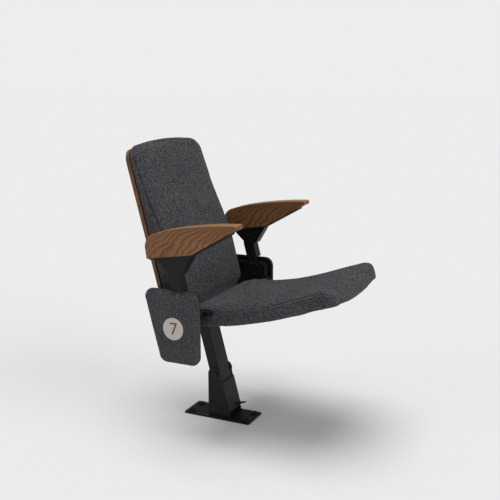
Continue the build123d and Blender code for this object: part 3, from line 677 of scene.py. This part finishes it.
def stations(half, edge):
    """Positions across a width, close together near the rounded sides."""
    inner = np.linspace(-half + edge, half - edge, 25)
    rim = half - edge * (1 - np.sin(np.linspace(0, math.pi / 2, 9)))[1:]
    return np.concatenate([-rim[::-1], inner, rim])


# ---------------------------------------------------------------- seat cushion
SEAT_TOP_REAR = [(0.024, 0.443), (0.012, 0.452), (-0.010, 0.4585)]
SEAT_TOP_MAIN = [(-0.052, 0.461), (-0.110, 0.464), (-0.165, 0.474), (-0.244, 0.493)]
SEAT_TOP_MAIN += [(-0.320, 0.516), (-0.395, 0.545), (-0.441, 0.561)]
SEAT_TOP = SEAT_TOP_REAR + SEAT_TOP_MAIN
SEAT_NOSE = [(-0.441, 0.563), (-0.468, 0.565), (-0.483, 0.558), (-0.496, 0.535), (-0.506, 0.513)]
SEAT_NOSE += [(-0.502, 0.502), (-0.480, 0.499)]
SEAT_UNDER = [(-0.480, 0.499), (-0.391, 0.485), (-0.290, 0.452), (-0.186, 0.424), (-0.108, 0.407)]
SEAT_UNDER += [(-0.051, 0.398), (-0.012, 0.401)]
SEAT_REAR = [(-0.012, 0.401), (0.013, 0.420), (0.024, 0.443)]


def seat_start(inset):
    """Seat cushion before it is puffed up: its side outline lofted across the width.

    over_pan tucks the underside into the pan, rim and lift shape its lower edge, crown the top.
    """
    ring = np.vstack(
        [
            smooth_curve(SEAT_TOP, 60)[:-1],
            smooth_curve(SEAT_NOSE, 20)[:-1],
            smooth_curve(SEAT_UNDER, 60)[:-1],
            smooth_curve(SEAT_REAR, 14)[:-1],
        ]
    )
    normal = outward(ring)
    ahead = -ring[:, 0]
    upper = between(normal[:, 1], -0.3, 0.3)
    under = 1 - upper
    front = between(ahead, 0.30, 0.46)
    radius = upper * (0.005 + 0.004 * front) + under * (0.008 + 0.004 * front)
    over_pan = under * between(ahead, 0.034, 0.040) * (1 - between(ahead, 0.410, 0.416))
    lift = under * np.interp(ahead, [0.391, 0.434, 0.477, 0.500], [0.0, 0.007, 0.015, 0.014])
    rim = under * np.interp(ahead, [0.10, 0.16, 0.385, 0.43], [0.0, 0.004, 0.007, 0.003])
    crown = between(ahead, 0.02, 0.14) * (1 - between(ahead, 0.34, 0.45))
    crown *= between(normal[:, 1], 0.5, 0.9)
    rings = []
    half = SEAT_HALF - inset
    for x in stations(half, 0.018):
        reach = np.clip((abs(x) - (half - radius)) / radius, 0, 1)
        sink = inset * upper + radius * (1 - np.sqrt(1 - reach**2 * 0.999))
        sink += 0.005 * over_pan * (1 - float(between(abs(x), 0.185, 0.200)))
        place = ring - normal * sink[:, None]
        place[:, 1] += 0.004 * crown * (1 - (x / half) ** 2)
        place[:, 1] += lift * float(between(abs(x), 0.04, 0.232))
        place[:, 1] -= rim * float(between(abs(x), 0.200, 0.222))
        over = np.clip(SEAT_NOSE_Y + SEAT_CORNER - place[:, 0], 0, SEAT_CORNER)
        width = SEAT_HALF - SEAT_CORNER + np.sqrt(SEAT_CORNER**2 - over**2)
        waist = 1 - 0.007 * np.sin(np.clip((-0.05 - place[:, 0]) / 0.40, 0, 1) * math.pi)
        rings.append(np.column_stack([x * width / SEAT_HALF * waist, place]))
    return loft("seat_upholstery", rings)


def seat_seam_paths(side):
    """Seams of one side: along the top edge, and down the side in front of the slot."""
    x = side * SEAM_HALF
    top = [(x, y, z - 0.002) for y, z in SEAT_TOP_MAIN]
    down = [(x, -0.196, 0.4755), (x, -0.207, 0.470), (x, -0.211, 0.455), (x, -0.211, 0.438)]
    return top, down


SLOT_FRONT, SLOT_LOW, SLOT_HIGH, SLOT_IN = -0.083, 0.445, 0.456, 0.205
SLOT_DEPTH, SLOT_LENGTH = 0.060, 0.130


def cut_slot(obj, side):
    """The opening in the side face that the hinge arm comes through."""
    skin = bmesh.new()
    bmesh.ops.create_cube(skin, size=1)
    for v in skin.verts:
        across, along, up = (c + 0.5 for c in v.co)
        v.co = Vector(
            (
                side * (SLOT_IN + across * SLOT_DEPTH),
                SLOT_FRONT + along * SLOT_LENGTH,
                SLOT_LOW + up * (SLOT_HIGH - SLOT_LOW),
            )
        )
    cutter = new_object("cutter", [], [])
    skin.to_mesh(cutter.data)
    skin.free()
    fix_normals(cutter)
    cut = obj.modifiers.new("slot", "BOOLEAN")
    cut.operation = "DIFFERENCE"
    cut.solver = "EXACT"
    cut.object = cutter
    bake_modifiers(obj)
    bpy.data.objects.remove(cutter)


VOXEL = 0.0055
SEAM_HOLD = 1.4
SEAM_REACH = 0.008

seat = seat_start(0.0025)
remesh(seat, VOXEL, 0)
for side in (-1, 1):
    cut_slot(seat, side)
remesh(seat, VOXEL, 2)
place = points_of(seat)
hold = np.zeros(len(place))
for side in (-1, 1):
    for path in seat_seam_paths(side):
        away = distance_to(place, spread(path))
        hold = np.maximum(hold, np.clip(SEAM_HOLD - away / SEAM_REACH, 0, 1))
near_slot = (np.abs(place[:, 0]) > SLOT_IN - 0.008) & (place[:, 1] > SLOT_FRONT - 0.012)
near_slot &= (place[:, 2] > SLOT_LOW - 0.012) & (place[:, 2] < SLOT_HIGH + 0.009)
hold[near_slot] = 1
hold[place[:, 1] > -0.03] = 1
hold[normals_of(seat)[:, 2] < -0.5] = 1
for y, z in (SEAT_NOSE[2], SEAT_NOSE[4]):
    away = np.hypot(place[:, 1] - y, place[:, 2] - z)
    hold = np.maximum(hold, np.clip(1.2 - away / 0.012, 0, 0.9))
inflate(seat, hold, 0.006)
subdivide(seat)
for side in (-1, 1):
    edge, down = seat_seam_paths(side)
    sew(seat, edge, depth=0.0040, width=0.0036)
    sew(seat, down, depth=0.0042, width=0.0036)
finish_soft(seat, "seat", "seat_cushion")

# ---------------------------------------------------------------- back cushion, in the leaned frame
BACK_FRONT = [(-0.030, 0.250), (-0.036, 0.270), (-0.048, 0.282), (-0.061, 0.293)]
BACK_FRONT += [(-0.0645, 0.312), (-0.065, 0.340), (-0.0665, 0.420), (-0.0655, 0.470)]
BACK_FRONT += [(-0.054, 0.563), (-0.037, 0.665), (-0.031, 0.740), (-0.026, 0.800), (-0.024, 0.850)]
BACK_LOW, BACK_APEX, BACK_RISE, BACK_CORNER = 0.250, 0.850, 0.018, 0.042


def back_top(x):
    """Height of the cushion's outline at x, arched, with rounded shoulders."""
    arch = BACK_APEX - BACK_RISE * (x / BACK_HALF) ** 2
    over = min(max(abs(x) - (BACK_HALF - BACK_CORNER), 0), BACK_CORNER)
    return arch - (BACK_CORNER - math.sqrt(BACK_CORNER**2 - over**2))


def back_rear(x):
    """Depth of the shell's front face at x."""
    return SHELL_ARC_Y + math.sqrt(SHELL_ARC_R**2 - x**2)


def back_start(inset):
    front = smooth_curve(BACK_FRONT, 110)
    rings = []
    half = BACK_HALF - inset
    edge = 0.007
    for x in stations(half, edge):
        rear = back_rear(x) - 0.0012
        ring = np.vstack(
            [
                front,
                np.column_stack([np.linspace(front[-1, 0], rear, 14)[1:], np.full(13, BACK_APEX)]),
                np.column_stack([np.full(60, rear), np.linspace(BACK_APEX, BACK_LOW, 62)[1:-1]]),
                np.column_stack([np.linspace(rear, front[0, 0], 14)[:-1], np.full(13, BACK_LOW)]),
            ]
        )
        normal = outward(ring)
        faces_rear = between(normal[:, 0], 0.2, 0.7)
        radius = edge * (1 - 0.8 * faces_rear)
        reach = np.clip((abs(x) - (half - radius)) / radius, 0, 1)
        sink = inset * (1 - faces_rear) + radius * (1 - np.sqrt(1 - reach**2 * 0.999))
        place = ring - normal * sink[:, None]
        bulge = 0.003 * between(-normal[:, 0], 0.5, 0.9) * (1 - (x / half) ** 2)
        place[:, 0] -= bulge * between(place[:, 1], 0.30, 0.35) * (1 - between(place[:, 1], 0.76, 0.84))
        high = np.clip((place[:, 1] - 0.70) / (BACK_APEX - 0.70), 0, None)
        place[:, 1] -= high * (BACK_APEX - back_top(x))
        rings.append(np.column_stack([np.full(len(place), x), place]))
    return loft("back_upholstery", rings)


def front_depth(z):
    y, height = np.array(BACK_FRONT).T
    return float(np.interp(z, height, y))


def back_seam_path():
    """Along the front perimeter: up one side, round the shoulders and down the other."""
    path = []
    for z in np.linspace(0.265, BACK_APEX - BACK_RISE - BACK_CORNER, 40):
        path.append((-BACK_HALF + 0.001, front_depth(z) + 0.006, z))
    for t in np.linspace(0.05, math.pi / 2, 12):
        x = -BACK_HALF + 0.001 + BACK_CORNER * (1 - math.cos(t))
        path.append((x, front_depth(0.80) + 0.006, back_top(x) - 0.001))
    for x in np.linspace(-BACK_HALF + BACK_CORNER + 0.008, 0, 20):
        path.append((x, front_depth(0.83) + 0.006, back_top(x) - 0.001))
    return path + [(-x, y, z) for x, y, z in path[-2::-1]]


def gap_behind(points):
    """How far each point stands in front of the shell."""
    return np.array([back_rear(x) for x in points[:, 0]]) - points[:, 1]


def swell_boxing(obj):
    """Rolls the boxing outwards between the front seam and the shell, most at mid depth."""
    place = points_of(obj)
    facing = normals_of(obj)
    sideways = np.hypot(facing[:, 0], facing[:, 2])
    rear = np.array([back_rear(x) for x in place[:, 0]])
    forward = (rear - place[:, 1]) / (rear - np.array([front_depth(z) for z in place[:, 2]]))
    swell = np.interp(forward, [0, 0.15, 0.45, 0.8, 0.95], [0.0100, 0.0110, 0.0100, 0.0045, 0.0])
    swell *= between(sideways, 0.4, 0.9) * between(facing[:, 2], -0.7, -0.3)
    place[:, 0] += swell * facing[:, 0] / np.maximum(sideways, 0.5)
    place[:, 2] += 0.65 * swell * facing[:, 2] / np.maximum(sideways, 0.5)
    move_to(obj, place)


back = back_start(0.0035)
remesh(back, VOXEL)
place = points_of(back)
hold = np.clip(SEAM_HOLD - distance_to(place, spread(back_seam_path())) / SEAM_REACH, 0, 1)
hold[gap_behind(place) < 0.006] = 1
hold[place[:, 2] < 0.302] = 1
inflate(back, hold, 0.006)
subdivide(back)
sew(back, back_seam_path(), depth=0.0060, width=0.0070, lip=0.0010)
swell_boxing(back)
back.matrix_world = LEANED
finish_soft(back, "frame", "back_cushion")

# ---------------------------------------------------------------- upholstered side panels
PANEL_CORNERS = [(0.145, 0.531), (-0.070, 0.531), (-0.070, 0.280), (0.078, 0.280)]
PANEL_CORNER_R = 0.033
PANEL_PUFF = 0.0022


def rounded_outline(corners, radius, steps=12):
    """Closed ring of points round a polygon whose corners are rounded."""
    ring = []
    c = [Vector(p) for p in corners]
    for i, here in enumerate(c):
        back_dir = (c[i - 1] - here).normalized()
        next_dir = (c[(i + 1) % len(c)] - here).normalized()
        half_angle = back_dir.angle(next_dir) / 2
        centre = here + (back_dir + next_dir).normalized() * radius / math.sin(half_angle)
        a = here + back_dir * radius / math.tan(half_angle) - centre
        b = here + next_dir * radius / math.tan(half_angle) - centre
        turn = a.angle_signed(b)
        for k in range(steps + 1):
            ring.append(centre + Matrix.Rotation(-turn * k / steps, 2) @ a)
    dense = spread([*ring, ring[0]], 0.004)[:-1]
    return np.array(dense)


panel_ring = rounded_outline(PANEL_CORNERS, PANEL_CORNER_R)
panel_out = outward(panel_ring)
panel_middle = panel_ring.mean(0)


def panel_start(name, side):
    """Flat on its liner, rounded over at the rim and slightly crowned outside.

    sink is the distance in from the outline, depth the height above the liner.
    """
    thick = PANEL_OUT - PANEL_IN - PANEL_PUFF
    rim = 0.0065
    rings = []
    for sink, depth in [(0.10, 0.0), (0.05, 0.0), (0.004, 0.0), (0.0006, 0.0006)]:
        rings.append((sink, depth))
    for t in np.linspace(0, math.pi / 2, 7):
        rings.append((rim * (1 - math.cos(t)), thick - rim * (1 - math.sin(t))))
    for sink in (0.014, 0.025, 0.04, 0.06, 0.08, 0.10):
        rings.append((sink, thick + 0.0012 * min(1, sink / 0.05)))
    made = []
    for sink, depth in rings:
        if sink < 0.03:
            flat = panel_ring - panel_out * (sink + 0.0006)
        else:
            flat = panel_middle + (panel_ring - panel_middle) * (1 - sink / 0.105)
        x = np.full(len(flat), side * (PANEL_IN + depth))
        made.append(np.column_stack([x, flat]))
    return loft(name, made)


for name, side in (("right", -1), ("left", 1)):
    panel = panel_start(f"side_pad_{name}", side)
    remesh(panel, 0.004)
    place = points_of(panel)
    hold = np.clip(1 - (np.abs(place[:, 0]) - PANEL_IN - 0.002) / 0.004, 0, 1)
    inflate(panel, hold, PANEL_PUFF, pressure=3.0)
    subdivide(panel)
    finish_soft(panel, "frame", f"side_panel_{name}")

# ---------------------------------------------------------------- seat number on the badge
badge_lo, badge_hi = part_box("row_badge")
badge_y = (badge_lo.y + badge_hi.y) / 2
badge_z = (badge_lo.z + badge_hi.z) / 2


def ribbon(name, strokes, width, thick):
    """Flat raised strokes on the badge's face; right is -Y and up is +Z."""
    skin = bmesh.new()
    for stroke in strokes:
        line = [Vector(p) for p in stroke]
        left, right = [], []
        for i, p in enumerate(line):
            before = (p - line[i - 1]).normalized() if i else (line[1] - p).normalized()
            after = (line[i + 1] - p).normalized() if i < len(line) - 1 else before
            out = (before + after).normalized()
            out = Vector((-out.y, out.x)) / max(0.5, math.sqrt((1 + before.dot(after)) / 2))
            left.append(p + out * width / 2)
            right.append(p - out * width / 2)
        ring = left + right[::-1]
        low = [skin.verts.new((badge_lo.x + 0.0002, badge_y - p.x, badge_z + p.y)) for p in ring]
        high = [skin.verts.new((badge_lo.x - thick, badge_y - p.x, badge_z + p.y)) for p in ring]
        count = len(ring)
        half = count // 2
        for i in range(half - 1):
            skin.faces.new((high[i], high[i + 1], high[count - 2 - i], high[count - 1 - i]))
            skin.faces.new((low[i], low[count - 1 - i], low[count - 2 - i], low[i + 1]))
        for i in range(count):
            k = (i + 1) % count
            skin.faces.new((low[i], low[k], high[k], high[i]))
    bmesh.ops.recalc_face_normals(skin, faces=skin.faces)
    obj = new_object(name, [], [])
    skin.to_mesh(obj.data)
    skin.free()
    return obj


seven = [[(-0.0115, 0.0185), (0.0120, 0.0185), (-0.0030, -0.0190)]]
number = ribbon("seat_number", seven, 0.0046, 0.0004)
number.data.materials.append(badge_ink)
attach(number, "frame")

# ---------------------------------------------------------------- floor, light and camera
floor = new_object("floor", [(-40, -40, 0), (40, -40, 0), (40, 40, 0), (-40, 40, 0)], [(0, 1, 2, 3)])


def paint_floor(n, place):
    grain = n.noise(place.outputs["Object"], 60.0, 3.0)
    tint = n.ramp(grain, (0.3, (0.797, 0.797, 0.797)), (0.7, (0.803, 0.803, 0.803)))
    return tint, n.math("MULTIPLY_ADD", grain, 0.05, 0.9), n.bump(grain, 0.02, 0.0005)


floor_look, floor_shader = material("pale_floor", paint_floor)
floor_shader.inputs["Specular IOR Level"].default_value = 0.0
floor.data.materials.append(floor_look)
floor.location.z = -0.0005

PALE = 0.846
SKY = 0.25
world = bpy.data.worlds.new("studio")
scene.world = world
world.use_nodes = True
sky = Nodes(world.node_tree)
world.node_tree.nodes.clear()
seen = sky.add("ShaderNodeBackground")
seen.inputs[0].default_value = (PALE, PALE, PALE, 1)
fill = sky.add("ShaderNodeBackground")
fill.inputs[0].default_value = (1, 1, 1, 1)
fill.inputs[1].default_value = SKY
choice = sky.add("ShaderNodeMixShader")
sky.put(choice.inputs[0], sky.add("ShaderNodeLightPath").outputs["Is Camera Ray"])
sky.put(choice.inputs[1], fill.outputs[0])
sky.put(choice.inputs[2], seen.outputs[0])
sky.put(sky.add("ShaderNodeOutputWorld").inputs[0], choice.outputs[0])


def sun(name, direction, strength, softness):
    light = bpy.data.lights.new(name, "SUN")
    light.energy = strength
    light.angle = math.radians(softness)
    lamp = bpy.data.objects.new(name, light)
    lamp.rotation_mode = "QUATERNION"
    lamp.rotation_quaternion = Vector(direction).to_track_quat("-Z", "Y")
    scene.collection.objects.link(lamp)


sun("overhead_softbox", (0.05, -0.10, -1.0), 1.95, 42)
sun("front_softbox", (0.15, 0.88, -0.45), 1.10, 50)
sun("left_softbox", (0.72, -0.60, -0.42), 0.22, 35)

eye = bpy.data.cameras.new("camera")
eye.sensor_width = 36
eye.lens = 833.887 / 500 * 36
camera = bpy.data.objects.new("camera", eye)
scene.collection.objects.link(camera)
PITCH = 0.209236
camera.location = (-2.5330, -1.3091, 1.2130)
forward = Vector((0.9037 * math.cos(PITCH), 0.4283 * math.cos(PITCH), -math.sin(PITCH)))
camera.rotation_mode = "QUATERNION"
camera.rotation_quaternion = forward.to_track_quat("-Z", "Y")
scene.camera = camera
scene.view_settings.view_transform = "Standard"
